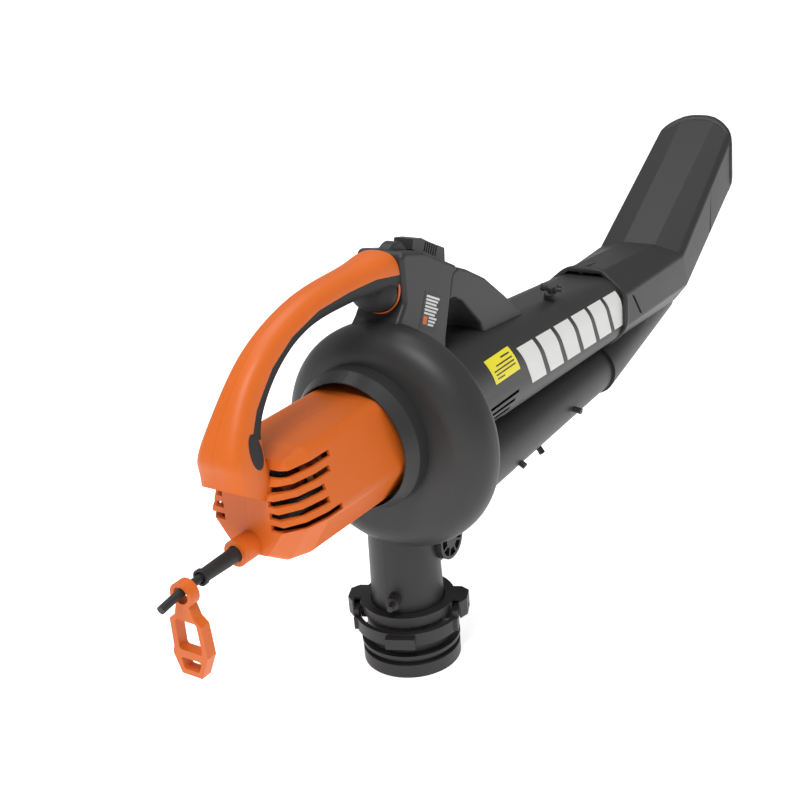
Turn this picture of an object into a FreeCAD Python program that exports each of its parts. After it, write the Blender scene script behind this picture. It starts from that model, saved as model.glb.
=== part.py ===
import FreeCAD, Part
import math
import os
import re
import Sketcher

V = FreeCAD.Vector
X_AXIS, Y_AXIS, Z_AXIS = V(1, 0, 0), V(0, 1, 0), V(0, 0, 1)

# Driving dimensions, mm. Everything is laid out from the point where the fan shaft
# meets the rear face of the fan housing: x forward along the shaft, y left, z up.
# origin_shift moves that point so that the part's origin is the centre of the main grip.
driving = {
    "origin_shift_x": 75, "origin_shift_z": -127, "shell_wall": 3, "seam_gap": 0.1,
    "shaft_radius": 5, "running_gap": 0.05, "bearing_width": 8,
    "front_bearing_radius": 13, "rear_bearing_radius": 11, "rear_bearing_start": -138,
    "commutator_radius": 13, "commutator_start": -122, "commutator_end": -100,
    "armature_radius": 22, "armature_start": -90, "armature_end": -38,
    "stator_radius": 36, "stator_bore": 23, "coil_inner": 24.5, "coil_outer": 30.5,
    "volute_radius": 100, "volute_offset": 9, "volute_depth": 88,
    "volute_rim": 33, "volute_front_radius": 52.5, "volute_rear_round": 25,
    "volute_front_round": 12, "inlet_radius": 44,
    "spigot_radius": 46.2, "spigot_end": 106,
    "collar_radius": 62, "collar_depth": 24.4, "collar_step": 12.5,
    "collar_mouth_radius": 54.8, "collar_bore_radius": 57,
    "impeller_radius": 76, "impeller_rear": 8, "impeller_hub_radius": 12,
    "impeller_front": 42, "blade_depth": 30, "blade_count": 12,
    "neck_axis_x": 40.2, "neck_top_radius": 30.5, "neck_low_radius": 33,
    "neck_low_z": -186, "selector_x": 62, "selector_z": -119, "gate_radius": 19,
    "gate_half_width": 21, "selector_shaft_radius": 4, "knob_radius": 18, "knob_depth": 10,
    "tube_tilt": 3, "tube_start": 88.4, "tube_end": 428, "tube_radius": 50,
    "tube_end_half_width": 43, "tube_end_half_height": 36, "tube_wall": 2.5,
    "blow_start": 96, "blow_end": 424, "blow_radius": 37, "blow_end_radius": 29.5,
    "blow_start_z": -89.5, "blow_end_z": -87.5,
    "flange_radius": 44.6, "flange_z": -211.9, "rim_radius": 44.1, "rim_z": -231.3,
    "collar_turn": 24, "collar_bore": 33.3,
    "tower_half_width": 23,
    "dial_x": 59, "dial_z": 133.5, "dial_radius": 15.5, "dial_half_width": 7,
    "cord_radius": 3.25, "cord_z": -25, "boss_end": -171, "sleeve_end": -209.5,
    "cord_end": -250.5, "retainer_x": -226,
}

doc = FreeCAD.newDocument("leaf_blower")
sheet = doc.addObject("Spreadsheet::Sheet", "dims")
for row, (alias, value) in enumerate(driving.items(), start=1):
    sheet.set(f"A{row}", alias)
    sheet.set(f"B{row}", str(value))
    sheet.setAlias(f"B{row}", alias)
doc.recompute()

pieces = []


def bound(text):
    """A size expression with its names pointed at the sheet."""
    return re.sub(r"[a-z][a-z_]+[a-z]", r"dims.\g<0>", str(text))


def size(text):
    """The present value of a size expression."""
    return float(sheet.evalExpression(bound(text)))


def register(obj, label, base=("0", "0", "0")):
    """Gives a finished sub-part its label and its place in the part's frame."""
    obj.Label = label
    shift = ("origin_shift_x", "0", "origin_shift_z")
    for axis, start, move in zip("xyz", base, shift):
        obj.setExpression(f"Placement.Base.{axis}", bound(f"{start} + {move}"))
    pieces.append(obj)
    return obj


def sketch_on(body, role, points, name):
    """A closed outline on one of the body's own planes, each corner bound to the sheet."""
    sketch = body.newObject("Sketcher::SketchObject", name)
    plane = [f for f in body.Origin.OriginFeatures if f.Role == role][0]
    sketch.AttachmentSupport = [(plane, "")]
    sketch.MapMode = "FlatFace"
    places = [(size(across), size(up)) for across, up in points]
    count = len(places)
    for start, end in zip(places, places[1:] + places[:1]):
        sketch.addGeometry(Part.LineSegment(V(*start, 0), V(*end, 0)), False)
    for corner in range(count):
        sketch.addConstraint(
            Sketcher.Constraint("Coincident", corner, 2, (corner + 1) % count, 1))
    for corner, (place, text) in enumerate(zip(places, points)):
        for kind, value, formula in zip(("DistanceX", "DistanceY"), place, text):
            index = sketch.addConstraint(
                Sketcher.Constraint(kind, -1, 1, corner, 1, value))
            sketch.setExpression(f"Constraints[{index}]", bound(formula))
    return sketch


def lathe(label, role, axis, points, base=("0", "0", "0")):
    """A turned piece: an outline on XZ_Plane or XY_Plane spun about H_Axis or V_Axis."""
    body = doc.addObject("PartDesign::Body", label)
    sketch = sketch_on(body, role, points, f"{label}_outline")
    turned = body.newObject("PartDesign::Revolution", f"{label}_turned")
    turned.Profile = sketch
    turned.ReferenceAxis = (sketch, [axis])
    turned.Angle = 360
    return register(body, label, base)


def turned_x(label, points, base=("0", "0", "0")):
    """Turned about the shaft direction; points are (x, radius)."""
    return lathe(label, "XZ_Plane", "H_Axis", points, base)


def turned_y(label, points, base):
    """Turned about the cross direction; points are (radius, y)."""
    return lathe(label, "XY_Plane", "V_Axis", points, base)


def formed(label, shape, base=("0", "0", "0")):
    """A moulded or bent piece whose shape is worked out below from the sheet."""
    matrix = shape.Placement.toMatrix()
    plain = shape.copy()
    plain.Placement = FreeCAD.Placement()
    feature = doc.addObject("Part::Feature", label)
    feature.Shape = plain.transformed(matrix, copy=True)
    return register(feature, label, base)


# ---- shape helpers -------------------------------------------------------------------

def box(low, high):
    return Part.makeBox(*[b - a for a, b in zip(low, high)], V(*low))


def rod(radius, start, end):
    """A plain cylinder from one point to another."""
    start, end = V(*start), V(*end)
    return Part.makeCylinder(radius, (end - start).Length, start, end - start)


def cone(start_radius, end_radius, start, end):
    start, end = V(*start), V(*end)
    return Part.makeCone(start_radius, end_radius, (end - start).Length, start, end - start)


def sector(inner, outer, start, end, first=0, sweep=360):
    """Part of a ring about the shaft; angles in degrees from y towards z."""
    ring = Part.makeCylinder(outer, end - start, V(start, 0, 0), X_AXIS, sweep)
    ring = ring.cut(Part.makeCylinder(inner, end - start + 2, V(start - 1, 0, 0), X_AXIS))
    ring.rotate(V(0, 0, 0), X_AXIS, first - 90)
    return ring


def rounded(corners, radius):
    """A closed wire through the corners with each one rounded."""
    edges, last = [], None
    count = len(corners)
    joins = []
    for index, corner in enumerate(corners):
        before = corner - corners[index - 1]
        after = corners[(index + 1) % count] - corner
        reach = 0.46 * min(before.Length, after.Length)
        before.normalize()
        after.normalize()
        turn = before.getAngle(after)
        bend = min(radius, reach / math.tan(turn / 2))
        cut = bend * math.tan(turn / 2)
        inward = (after - before).normalize()
        centre = corner + inward * (bend / math.cos(turn / 2))
        joins.append((corner - before * cut, centre - inward * bend, corner + after * cut))
    for start, middle, end in joins:
        if last is not None:
            edges.append(Part.LineSegment(last, start).toShape())
        edges.append(Part.Arc(start, middle, end).toShape())
        last = end
    edges.append(Part.LineSegment(last, joins[0][0]).toShape())
    return Part.Wire(edges)


def inset(points, depth):
    """The same polygon with every side moved inwards."""
    count = len(points)
    sides = []
    area = sum(a[0] * b[1] - b[0] * a[1] for a, b in zip(points, points[1:] + points[:1]))
    turn = 1 if area > 0 else -1
    for (ax, ay), (bx, by) in zip(points, points[1:] + points[:1]):
        length = math.hypot(bx - ax, by - ay)
        nx, ny = -turn * (by - ay) / length, turn * (bx - ax) / length
        sides.append((nx, ny, nx * ax + ny * ay + depth))
    moved = []
    for index in range(count):
        ax, ay, ac = sides[index - 1]
        bx, by, bc = sides[index]
        det = ax * by - bx * ay
        moved.append(((ac * by - bc * ay) / det, (ax * bc - bx * ac) / det))
    return moved


def both_sides(half):
    """A closed symmetric outline from its right half, listed top to bottom."""
    return [(-y, z) for y, z in half] + [(y, z) for y, z in reversed(half)]


def cross_section(x, half, radius, depth=0.0):
    outline = both_sides(half)
    if depth:
        outline = inset(outline, depth)
    return rounded([V(x, y, z) for y, z in outline], radius)


def loft(wires, ruled=True):
    return Part.makeLoft(wires, True, ruled)


def halves(shape, name_left, name_right):
    """Splits a casing along its seam, the plane y = 0."""
    gap = size("seam_gap / 2")
    reach = 2000
    left = shape.common(box((-reach, gap, -reach), (reach, reach, reach)))
    right = shape.common(box((-reach, -reach, -reach), (reach, -gap, reach)))
    formed(name_left, left)
    formed(name_right, right)


def bent_path(points):
    """Straight runs joined by tangent arcs; also returns the arc radii."""
    edges, radii = [], []
    last = points[0]
    for before, corner, after in zip(points, points[1:], points[2:]):
        into, out = corner - before, after - corner
        reach = 0.45 * min(into.Length, out.Length)
        into.normalize()
        out.normalize()
        turn = into.getAngle(out)
        radius = reach / math.tan(turn / 2)
        inward = (out - into).normalize()
        centre = corner + inward * (radius / math.cos(turn / 2))
        start, end = corner - into * reach, corner + out * reach
        edges.append(Part.LineSegment(last, start).toShape())
        edges.append(Part.Arc(start, centre - inward * radius, end).toShape())
        radii.append(radius)
        last = end
    edges.append(Part.LineSegment(last, points[-1]).toShape())
    return Part.Wire(edges), radii


def tube_along(points, radius):
    """A round solid bar along a bent path."""
    path, radii = bent_path(points)
    start = points[0]
    ring = Part.Wire(Part.Circle(start, points[1] - start, radius).toShape())
    return path.makePipeShell([ring], True, False), path.Length, radii


def coil_spring(radius, wire, turns, low, high, centre):
    """A compression spring standing on its low end."""
    helix = Part.makeHelix((high - low - 2 * wire) / turns, high - low - 2 * wire, radius)
    ring = Part.Wire(Part.Circle(V(radius, 0, 0), Y_AXIS, wire).toShape())
    spring = helix.makePipeShell([ring], True, True)
    spring.translate(V(centre[0], centre[1], low + wire))
    return spring


# ---- motor and fan -------------------------------------------------------------------

def make_rotor():
    turned_x("motor_shaft", [
        ("rear_bearing_start - 2", "0"), ("rear_bearing_start - 2", "shaft_radius"),
        ("impeller_front + 14", "shaft_radius"), ("impeller_front + 14", "0")])
    turned_x("commutator", [
        ("commutator_start", "shaft_radius"), ("commutator_start", "commutator_radius"),
        ("commutator_end - 3", "commutator_radius"),
        ("commutator_end - 3", "commutator_radius + 2"),
        ("commutator_end", "commutator_radius + 2"), ("commutator_end", "shaft_radius")])
    turned_x("armature_windings", [
        ("armature_start - 8", "shaft_radius"), ("armature_start - 8", "armature_radius - 6"),
        ("armature_start - 5", "armature_radius - 2"),
        ("armature_start", "armature_radius - 2"),
        ("armature_start", "armature_radius - 9"), ("armature_end", "armature_radius - 9"),
        ("armature_end", "armature_radius - 2"), ("armature_end + 5", "armature_radius - 2"),
        ("armature_end + 8", "armature_radius - 6"), ("armature_end + 8", "shaft_radius")])
    core = sector(size("armature_radius - 9"), size("armature_radius"),
                  size("armature_start"), size("armature_end"))
    slots = 12
    slot_width, slot_depth = 2.2, 5
    top = size("armature_radius")
    for index in range(slots):
        slot = box((-200, -slot_width / 2, top - slot_depth), (0, slot_width / 2, top + 1))
        slot.rotate(V(0, 0, 0), X_AXIS, index * 360 / slots)
        core = core.cut(slot)
    formed("armature_core", core)
    make_cooling_fan()
    make_impeller()


def make_cooling_fan():
    hub_end, disc_radius, blade_height, blades = -12, 31, 9, 11
    start = -24
    fan = sector(size("shaft_radius"), 10, start, hub_end)
    fan = fan.fuse(sector(size("shaft_radius"), disc_radius, hub_end - 2, hub_end))
    for index in range(blades):
        blade = box((hub_end - 2 - blade_height, -0.9, 9), (hub_end - 1, 0.9, disc_radius))
        blade.rotate(V(0, 0, 0), X_AXIS, index * 360 / blades)
        fan = fan.fuse(blade)
    formed("cooling_fan", fan.removeSplitter())


def make_impeller():
    rear, front = size("impeller_rear"), size("impeller_front")
    radius, hub = size("impeller_radius"), size("impeller_hub_radius")
    plate = 3
    wheel = sector(size("shaft_radius"), radius, rear, rear + plate)
    wheel = wheel.fuse(sector(size("shaft_radius"), hub, rear, front))
    count = int(size("blade_count"))
    depth = size("blade_depth")
    for index in range(count):
        outline = [V(rear + 1, 0, hub - 2), V(rear + 1, 0, radius),
                   V(rear + depth * 0.72, 0, radius), V(rear + depth, 0, radius * 0.55),
                   V(rear + depth, 0, hub - 2)]
        face = Part.Face(Part.makePolygon(outline + outline[:1]))
        blade = face.extrude(V(0, 2.4, 0))
        blade.translate(V(0, -1.2, 0))
        blade.rotate(V(0, 0, hub), X_AXIS, 16)
        blade.rotate(V(0, 0, 0), X_AXIS, index * 360 / count)
        wheel = wheel.fuse(blade)
    wheel = wheel.cut(rod(size("shaft_radius"), (rear - 5, 0, 0), (front + 5, 0, 0)))
    formed("impeller", wheel.removeSplitter())
    turned_x("impeller_washer", [
        ("impeller_front", "shaft_radius"), ("impeller_front", "shaft_radius + 6"),
        ("impeller_front + 2", "shaft_radius + 6"), ("impeller_front + 2", "shaft_radius")])
    across, height = 16, 8
    corner = across / 2 / math.cos(math.radians(30))
    hexagon = [V(front + 2, corner * math.cos(math.radians(60 * side)),
                 corner * math.sin(math.radians(60 * side))) for side in range(6)]
    nut = Part.Face(Part.makePolygon(hexagon + hexagon[:1])).extrude(V(height, 0, 0))
    formed("impeller_nut", nut.cut(rod(size("shaft_radius"), (front, 0, 0), (front + 20, 0, 0))))


def make_motor_frame():
    half = "front_bearing_radius"
    turned_x("motor_bulkhead", [
        ("-8", half), ("-8", "front_bearing_radius + 3"), ("-1", "front_bearing_radius + 3"),
        ("-1", "collar_bore_radius - 0.4"), ("3", "collar_bore_radius - 0.4"),
        ("3", "shaft_radius + 2"), ("1", "shaft_radius + 2"), ("1", half)])
    turned_x("front_bearing", [
        ("1 - bearing_width", "shaft_radius + running_gap"), ("1 - bearing_width", half),
        ("1", half), ("1", "shaft_radius + running_gap")])
    turned_x("rear_bearing", [
        ("rear_bearing_start", "shaft_radius + running_gap"),
        ("rear_bearing_start", "rear_bearing_radius"),
        ("rear_bearing_start + 7", "rear_bearing_radius"),
        ("rear_bearing_start + 7", "shaft_radius + running_gap")])
    start = size("rear_bearing_start")
    radius = size("rear_bearing_radius")
    cup = sector(radius, radius + 3, start - 3, start + 7)
    cup = cup.fuse(sector(radius - 3, radius + 3, start - 3, start))
    arm_low, arm_high = size("stator_radius - 11"), size("stator_radius - 6")
    for side in (-1, 1):
        arm = box((start - 3, 0, -6), (size("armature_start") - 2, arm_high - arm_low, 6))
        arm.translate(V(0, arm_low if side > 0 else -arm_high, 0))
        bridge = box((start - 3, 0, -6), (start, arm_high - radius, 6))
        bridge.translate(V(0, radius if side > 0 else -arm_high, 0))
        cup = cup.fuse(arm).fuse(bridge)
    formed("rear_bearing_bracket", cup.removeSplitter())

    first, last = size("armature_start - 2"), size("armature_end + 2")
    stator = sector(size("stator_bore"), size("stator_radius"), first, last)
    for start_angle in (30, 130, 210, 310):
        stator = stator.cut(sector(size("coil_inner - 1"), size("coil_outer + 0.5"),
                                   first - 1, last + 1, start_angle, 20))
    formed("stator_core", stator)
    for label, turn in (("field_coil_top", 0), ("field_coil_bottom", 180)):
        inner, outer = size("coil_inner"), size("coil_outer")
        coil = sector(inner, outer, first - 8, last + 8, 31, 18)
        coil = coil.fuse(sector(inner, outer, first - 8, last + 8, 131, 18))
        for start, end in ((first - 8, first - 1), (last + 1, last + 8)):
            coil = coil.fuse(sector(inner, outer, start, end, 31, 118))
        coil.rotate(V(0, 0, 0), X_AXIS, turn)
        formed(label, coil.removeSplitter())


def make_brush_gear():
    middle = size("(commutator_start + commutator_end) / 2 - 1")
    contact = size("commutator_radius + running_gap")
    brush_half, holder_half, cap_z, spring_z = 4, 6, 37, 26
    wall_z = contact + 3
    for label, up in (("top", 1), ("bottom", -1)):
        holder = box((middle - holder_half, -holder_half, wall_z),
                     (middle + holder_half, holder_half, cap_z))
        bore = brush_half + 0.15
        holder = holder.cut(box((middle - bore, -bore, wall_z - 1),
                                (middle + bore, bore, cap_z - 1.5)))
        brush = box((middle - brush_half, -brush_half, contact),
                    (middle + brush_half, brush_half, spring_z))
        spring = coil_spring(2.8, 0.45, 5, spring_z, cap_z - 1.5, (middle, 0))
        for name, shape in ((f"brush_holder_{label}", holder),
                            (f"carbon_brush_{label}", brush),
                            (f"brush_spring_{label}", spring)):
            if up < 0:
                shape.rotate(V(middle, 0, 0), X_AXIS, 180)
            formed(name, shape)


# ---- casings -------------------------------------------------------------------------

# Half outlines (y, z) of the motor housing, top edge first, at four stations along x.
motor_sections = [
    (-153, [(25, 20), (35, -6), (15, -33)], 7),
    (-138, [(31, 40), (45, -9), (23, -42)], 9),
    (-118, [(34, 44.3), (49.5, -10), (27, -45)], 10),
    (-2, [(34, 44.5), (52.5, -10), (28, -45.5)], 11),
]


def motor_outer():
    return loft([cross_section(x, half, radius) for x, half, radius in motor_sections])


def make_motor_housing():
    wall = size("shell_wall")
    outer = motor_outer()
    hollow = [cross_section(x, half, radius - wall + 1, wall)
              for x, half, radius in motor_sections[1:]]
    first_x, first_half, first_radius = motor_sections[0]
    first = cross_section(first_x + wall, first_half, first_radius - wall + 1, wall + 1)
    cord_z, boss_end = size("cord_z"), size("boss_end")
    boss_radius, sleeve_radius = 10.5, 6.6
    shell = outer.fuse(rod(boss_radius, (boss_end, 0, cord_z), (-140, 0, cord_z)))
    shell = shell.cut(loft([first] + hollow))
    shell = shell.cut(rod(sleeve_radius, (boss_end - 1, 0, cord_z), (-138, 0, cord_z)))
    # the front end is open to the cooling fan and the bulkhead
    for y, z in bulkhead_screws:
        shell = shell.fuse(rod(6.5, (-22, y, z), (-2, y, z)).common(outer))
        shell = shell.cut(rod(2, (-20, y, z), (0, y, z)))
    slot_height, slot_pitch, top_slot, slot_floor = 5.2, 9.8, 29, 17
    ends = (-96, -101, -112, -112, -101)
    for index, end in enumerate(ends):
        low = top_slot - index * slot_pitch
        for side in (-1, 1):
            slot = box((-170, slot_floor, low), (end, 60, low + slot_height))
            if side < 0:
                slot = slot.mirror(V(0, 0, 0), Y_AXIS)
            shell = shell.cut(slot.cut(vent_core()))
    shell = shell.removeSplitter()
    halves(shell, "motor_housing_left", "motor_housing_right")


def vent_core():
    """The middle of the rear wall, which the side vents stop short of."""
    return box((-170, -22, -60), (-147, 22, 60))


bulkhead_screws = [(-43.5, -10), (43.5, -10), (-25, 36), (25, 36)]


def make_bulkhead_screws():
    screws = []
    for y, z in bulkhead_screws:
        screws.append(rod(2, (-18, y, z), (3, y, z)).fuse(rod(3.8, (3, y, z), (5.5, y, z))))
    formed("bulkhead_screws", Part.makeCompound(screws))


def revolved(points, centre):
    """A solid spun about a line along x through the (y, z) centre; points are (x, r)."""
    cy, cz = centre
    wire = Part.makePolygon([V(x, cy, cz + r) for x, r in points + points[:1]])
    return Part.Face(wire).revolve(V(0, cy, cz), X_AXIS, 360)


def circle_x(radius, x, y, z):
    """A circle across the shaft that starts at its right side, away from the seam."""
    ring = Part.Wire(Part.Circle(V(x, y, z), X_AXIS, radius).toShape())
    ring.rotate(V(x, y, z), X_AXIS, 90)
    return ring


def volute(depth):
    """The scroll round the fan: a rounded drum that narrows forward to the suction tube."""
    offset = -size("volute_offset")
    radius, rim = size("volute_radius") - depth, size("volute_rim")
    rear = size("volute_rear_round") - depth
    drum = Part.makeCylinder(radius, rim - depth, V(depth, offset, offset), X_AXIS)
    rear_edge = [e for e in drum.Edges if e.Closed and abs(e.CenterOfMass.x - depth) < 0.01]
    drum = drum.makeFillet(rear, rear_edge)
    end, end_radius = size("volute_depth") - depth, size("volute_front_radius")
    sideways = 1.35 * depth
    near = circle_x(size("volute_radius") - sideways, rim, offset, offset)
    far = circle_x(end_radius + 0.88 * depth - sideways, end, -0.17 * depth, -1.3 - 0.14 * depth)
    body = drum.fuse(loft([near, far]))
    if depth:
        return body
    edge = [e for e in body.Edges if abs(e.CenterOfMass.x - rim) < 0.01]
    return body.removeSplitter().makeFillet(size("volute_front_round"), edge)


def manifold(depth):
    """The chamber under the fan that feeds the neck and the blow tube."""
    low_z, front_x, half = -142, 90, 25
    return box((size("selector_x") - 26 + depth, -half + depth, low_z + depth),
               (front_x - depth, half - depth, -60))


def neck(depth):
    axis = size("neck_axis_x")
    return cone(size("neck_top_radius") - depth, size("neck_low_radius") - depth,
                (axis, 0, -90), (axis, 0, size("neck_low_z") - (1 if depth else 0)))


def knob_recess(depth):
    """The pocket in the housing's lower right side that the selector knob turns in."""
    x, z = size("selector_x"), size("selector_z")
    floor_y = size("-gate_half_width - 5.4") + depth
    return rod(size("knob_radius + 0.8") + depth, (x, -70, z), (x, floor_y, z))


def make_fan_housing():
    wall = size("shell_wall")
    depth = size("volute_depth")
    outer = volute(0)
    outer = outer.fuse(manifold(0)).fuse(neck(0))
    collar_end = -size("collar_depth")
    step = -size("collar_step")
    collar = revolved([(collar_end, 0), (collar_end, size("collar_mouth_radius") + 1),
                       (step, size("collar_radius") - 0.6), (2, size("collar_radius")),
                       (2, 0)], (0, 0))
    outer = outer.fuse(collar)
    blow_z, blow_radius = size("blow_start_z"), size("blow_radius")
    stub_start, stub_end = 44, size("blow_start") - 0.5
    outer = outer.fuse(rod(blow_radius, (stub_start, 0, blow_z), (stub_end, 0, blow_z)))
    spigot = rod(size("spigot_radius"), (depth - 5, 0, 0), (size("spigot_end"), 0, -2.4))
    outer = outer.fuse(spigot)
    inner = volute(wall)
    inner = inner.fuse(manifold(wall)).fuse(neck(wall))
    inner = inner.fuse(rod(blow_radius - wall, (stub_start + wall, 0, blow_z), (110, 0, blow_z)))
    inner = inner.fuse(rod(size("inlet_radius"), (60, 0, 0), (130, 0, -2.8)))
    inner = inner.fuse(rod(size("collar_bore_radius"), (-21, 0, 0), (20, 0, 0)))
    inner = inner.fuse(rod(size("collar_mouth_radius"), (-30, 0, 0), (-10, 0, 0)))
    shell = outer.cut(inner.cut(knob_recess(wall))).cut(knob_recess(0))
    shaft_x, shaft_z = size("selector_x"), size("selector_z")
    hole = size("selector_shaft_radius + running_gap")
    shell = shell.cut(rod(hole, (shaft_x, -40, shaft_z), (shaft_x, 40, shaft_z)))
    halves(shell.removeSplitter(), "fan_housing_left", "fan_housing_right")


# Side outline (x, z) of the control tower above the fan housing.
tower_outline = [(12, 78), (30, 92), (40.5, 104), (40.5, 147), (74, 138.6), (128, 110.5),
                 (116, 106), (99, 56), (96, 36), (60, 40)]


def casing_outer():
    """The fan housing and suction tube as the tower sits on them."""
    reach = size("tube_start")
    mouth = rod(size("tube_radius + 0.4"), (reach - 5, 0, 0), (reach + 3, 0, 0))
    return volute(0).fuse(suction_outer(0.4)).fuse(mouth)


def padded_outline(points, half, depth=0.0, radius=6.0):
    outline = inset(points, depth) if depth else points
    wire = rounded([V(x, -half + depth, z) for x, z in outline], max(radius - depth, 1))
    return Part.Face(wire).extrude(V(0, 2 * (half - depth), 0))


def side_rounded(shape, half, radius):
    edges = [e for e in shape.Edges
             if abs(abs(e.CenterOfMass.y) - half) < 0.01]
    return shape.makeFillet(radius, edges)


def make_control_tower():
    half = size("tower_half_width")
    wall = size("shell_wall")
    block = side_rounded(padded_outline(tower_outline, half), half, 4)
    shell = block.cut(padded_outline(tower_outline, half, wall))
    shell = shell.cut(casing_outer())
    dial = size("dial_radius") + 1
    dial_x, dial_z = size("dial_x"), size("dial_z")
    dial_half = size("dial_half_width") + 1
    shell = shell.cut(rod(dial, (dial_x, -dial_half, dial_z), (dial_x, dial_half, dial_z)))
    shell = shell.cut(slider_slot())
    shell = add_screw_posts(shell, block, tower_screws, half)
    halves(shell, "control_tower_left", "control_tower_right")
    make_screws("tower_screws", tower_screws, half)


tower_screws = [(95.5, 76), (104, 100)]
handle_screws = [(-172, 47), (-160, 31)]


def add_screw_posts(shell, outer, places, half):
    """Posts across the casing for the screws, with a recess for each head on the left."""
    for x, z in places:
        post = rod(4.6, (x, -half, z), (x, half, z)).common(outer)
        shell = shell.fuse(post)
        shell = shell.cut(rod(1.8, (x, -9, z), (x, half + 5, z)))
        shell = shell.cut(rod(4, (x, half - 6, z), (x, half + 5, z)))
    return shell


def make_screws(label, places, half):
    screws = []
    for x, z in places:
        shaft = rod(1.7, (x, -8, z), (x, half - 5.9, z))
        screws.append(shaft.fuse(rod(3.6, (x, half - 5.9, z), (x, half - 3.4, z))))
    formed(label, Part.makeCompound(screws))


slider_slope = math.radians(27.5)


def slider_frame(shape):
    """Turns a shape built along x at the origin onto the sloping top of the tower."""
    shape.rotate(V(0, 0, 0), Y_AXIS, math.degrees(slider_slope))
    shape.translate(V(74.5, 0, 138.9))
    return shape


def slider_slot():
    return slider_frame(box((16, -3.4, -12), (40, 3.4, 6)))


def make_power_slider():
    half = 9.5
    outline = [(1.5, 0.6), (0.2, 9), (12, 12.5), (26, 12.3), (51, 12.8), (56.5, 0.6)]
    block = Part.Face(Part.makePolygon([V(x, -half, z) for x, z in outline + outline[:1]]))
    block = block.extrude(V(0, 2 * half, 0))
    for index in range(6):
        start = 19 + index * 3.6
        for side in (-1, 1):
            rib = box((start, half - 1.6, 2.5), (start + 1.9, half + 1, 14))
            if side < 0:
                rib = rib.mirror(V(0, 0, 0), Y_AXIS)
            block = block.cut(rib)
    block = block.fuse(box((18, -3, -9), (30, 3, 2)))
    formed("power_slider", slider_frame(block.removeSplitter()))


def make_controls():
    turned_y("speed_dial", [
        ("shaft_radius - 1.95", "-dial_half_width"), ("dial_radius - 2", "-dial_half_width"),
        ("dial_radius", "-dial_half_width + 2"), ("dial_radius", "dial_half_width - 2"),
        ("dial_radius - 2", "dial_half_width"), ("shaft_radius - 1.95", "dial_half_width")],
        ("dial_x", "0", "dial_z"))
    dial_x, dial_z = size("dial_x"), size("dial_z")
    half = size("dial_half_width")
    back, front = -half - 11, -half - 1
    module = box((dial_x - 14, back, dial_z - 22), (dial_x + 14, front, dial_z - 2))
    module = module.fuse(rod(4.6, (dial_x, back, dial_z), (dial_x, front, dial_z)))
    module = module.fuse(rod(3, (dial_x, front - 1, dial_z), (dial_x, half + 2, dial_z)))
    formed("speed_module", module.removeSplitter())
    switch = box((82, -9, 92), (99, 9, 113)).fuse(box((84, -6, 90), (86, -5, 93)))
    formed("power_switch", switch.removeSplitter())


# Handle stations: outer point, inner point (x, z), half width and squareness.
handle_stations = [
    ((-180, 31), (-146, 9), 21, 3.6),
    ((-181, 50), (-140, 34), 22, 3.4),
    ((-174, 66), (-140, 58), 19, 3.0),
    ((-158, 88), (-131.5, 73.5), 16, 2.6),
    ((-130.5, 114), (-110.5, 94.5), 14.5, 2.4),
    ((-101.8, 129.2), (-88.2, 108.3), 14.2, 2.3),
    ((-63.4, 140.5), (-58.6, 116.5), 14.5, 2.3),
    ((-23.8, 144.5), (-22.2, 118), 15.5, 2.3),
    ((12, 146.5), (12, 116.5), 17.5, 2.4),
    ((40, 146.8), (40, 108), 20, 2.6),
]


def handle_section(station, depth):
    """One closed oval across the handle between its outer and inner points."""
    (ox, oz), (ix, iz), half, power = station
    outer, inner = V(ox, 0, oz), V(ix, 0, iz)
    middle = (outer + inner) * 0.5
    up = outer - inner
    reach = up.Length / 2 - depth
    up.normalize()
    points = []
    count = 20
    for index in range(count):
        angle = 2 * math.pi * (index + 0.5) / count
        c, s = math.cos(angle), math.sin(angle)
        across = math.copysign(abs(c) ** (2 / power), c) * (half - depth)
        along = math.copysign(abs(s) ** (2 / power), s) * reach
        points.append(middle + up * along + V(0, across, 0))
    curve = Part.BSplineCurve()
    curve.interpolate(points, PeriodicFlag=True)
    return Part.Wire(curve.toShape())


def handle_solid(depth):
    return loft([handle_section(station, depth) for station in handle_stations], False)


def grip_zone():
    """The inner part of the handle that the soft grip covers."""
    wires = []
    for outer_point, inner_point, half, _squareness in handle_stations[2:]:
        outer, inner = V(outer_point[0], 0, outer_point[1]), V(inner_point[0], 0, inner_point[1])
        up = (outer - inner).normalize()
        top = inner + (outer - inner) * 0.52
        low = inner - up * 4
        side = V(0, half + 6, 0)
        wires.append(Part.makePolygon([low - side, low + side, top + side, top - side,
                                       low - side]))
    return loft(wires)


def make_handle():
    wall = size("shell_wall") + 1
    outer = handle_solid(0)
    motor = motor_outer()
    shell = outer.cut(handle_solid(wall)).cut(motor)
    zone = grip_zone()
    grip = shell.common(zone)
    formed("grip_insert", grip)
    shell = shell.cut(zone)
    screw_half = 20
    shell = add_screw_posts(shell, outer.cut(motor), handle_screws, screw_half)
    halves(shell, "handle_shell_left", "handle_shell_right")
    make_screws("handle_screws", handle_screws, screw_half)
    route = [V(-154, 0, 66), V(-144.5, 0, 80.5), V(-120.5, 0, 104), V(-95, 0, 118.7),
             V(-61, 0, 128.5), V(-23, 0, 131.2), V(12, 0, 131.3), V(34, 0, 128)]
    wiring_radius = 2.5
    formed("handle_wiring", tube_along(route, wiring_radius)[0])


front_handle_outline = [(117, 109), (129, 109.5), (143, 103.5), (173, 87), (205, 62),
                        (240, 33), (236, 26), (166, 30), (160, 48), (131, 78), (119, 85),
                        (109, 85)]


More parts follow.
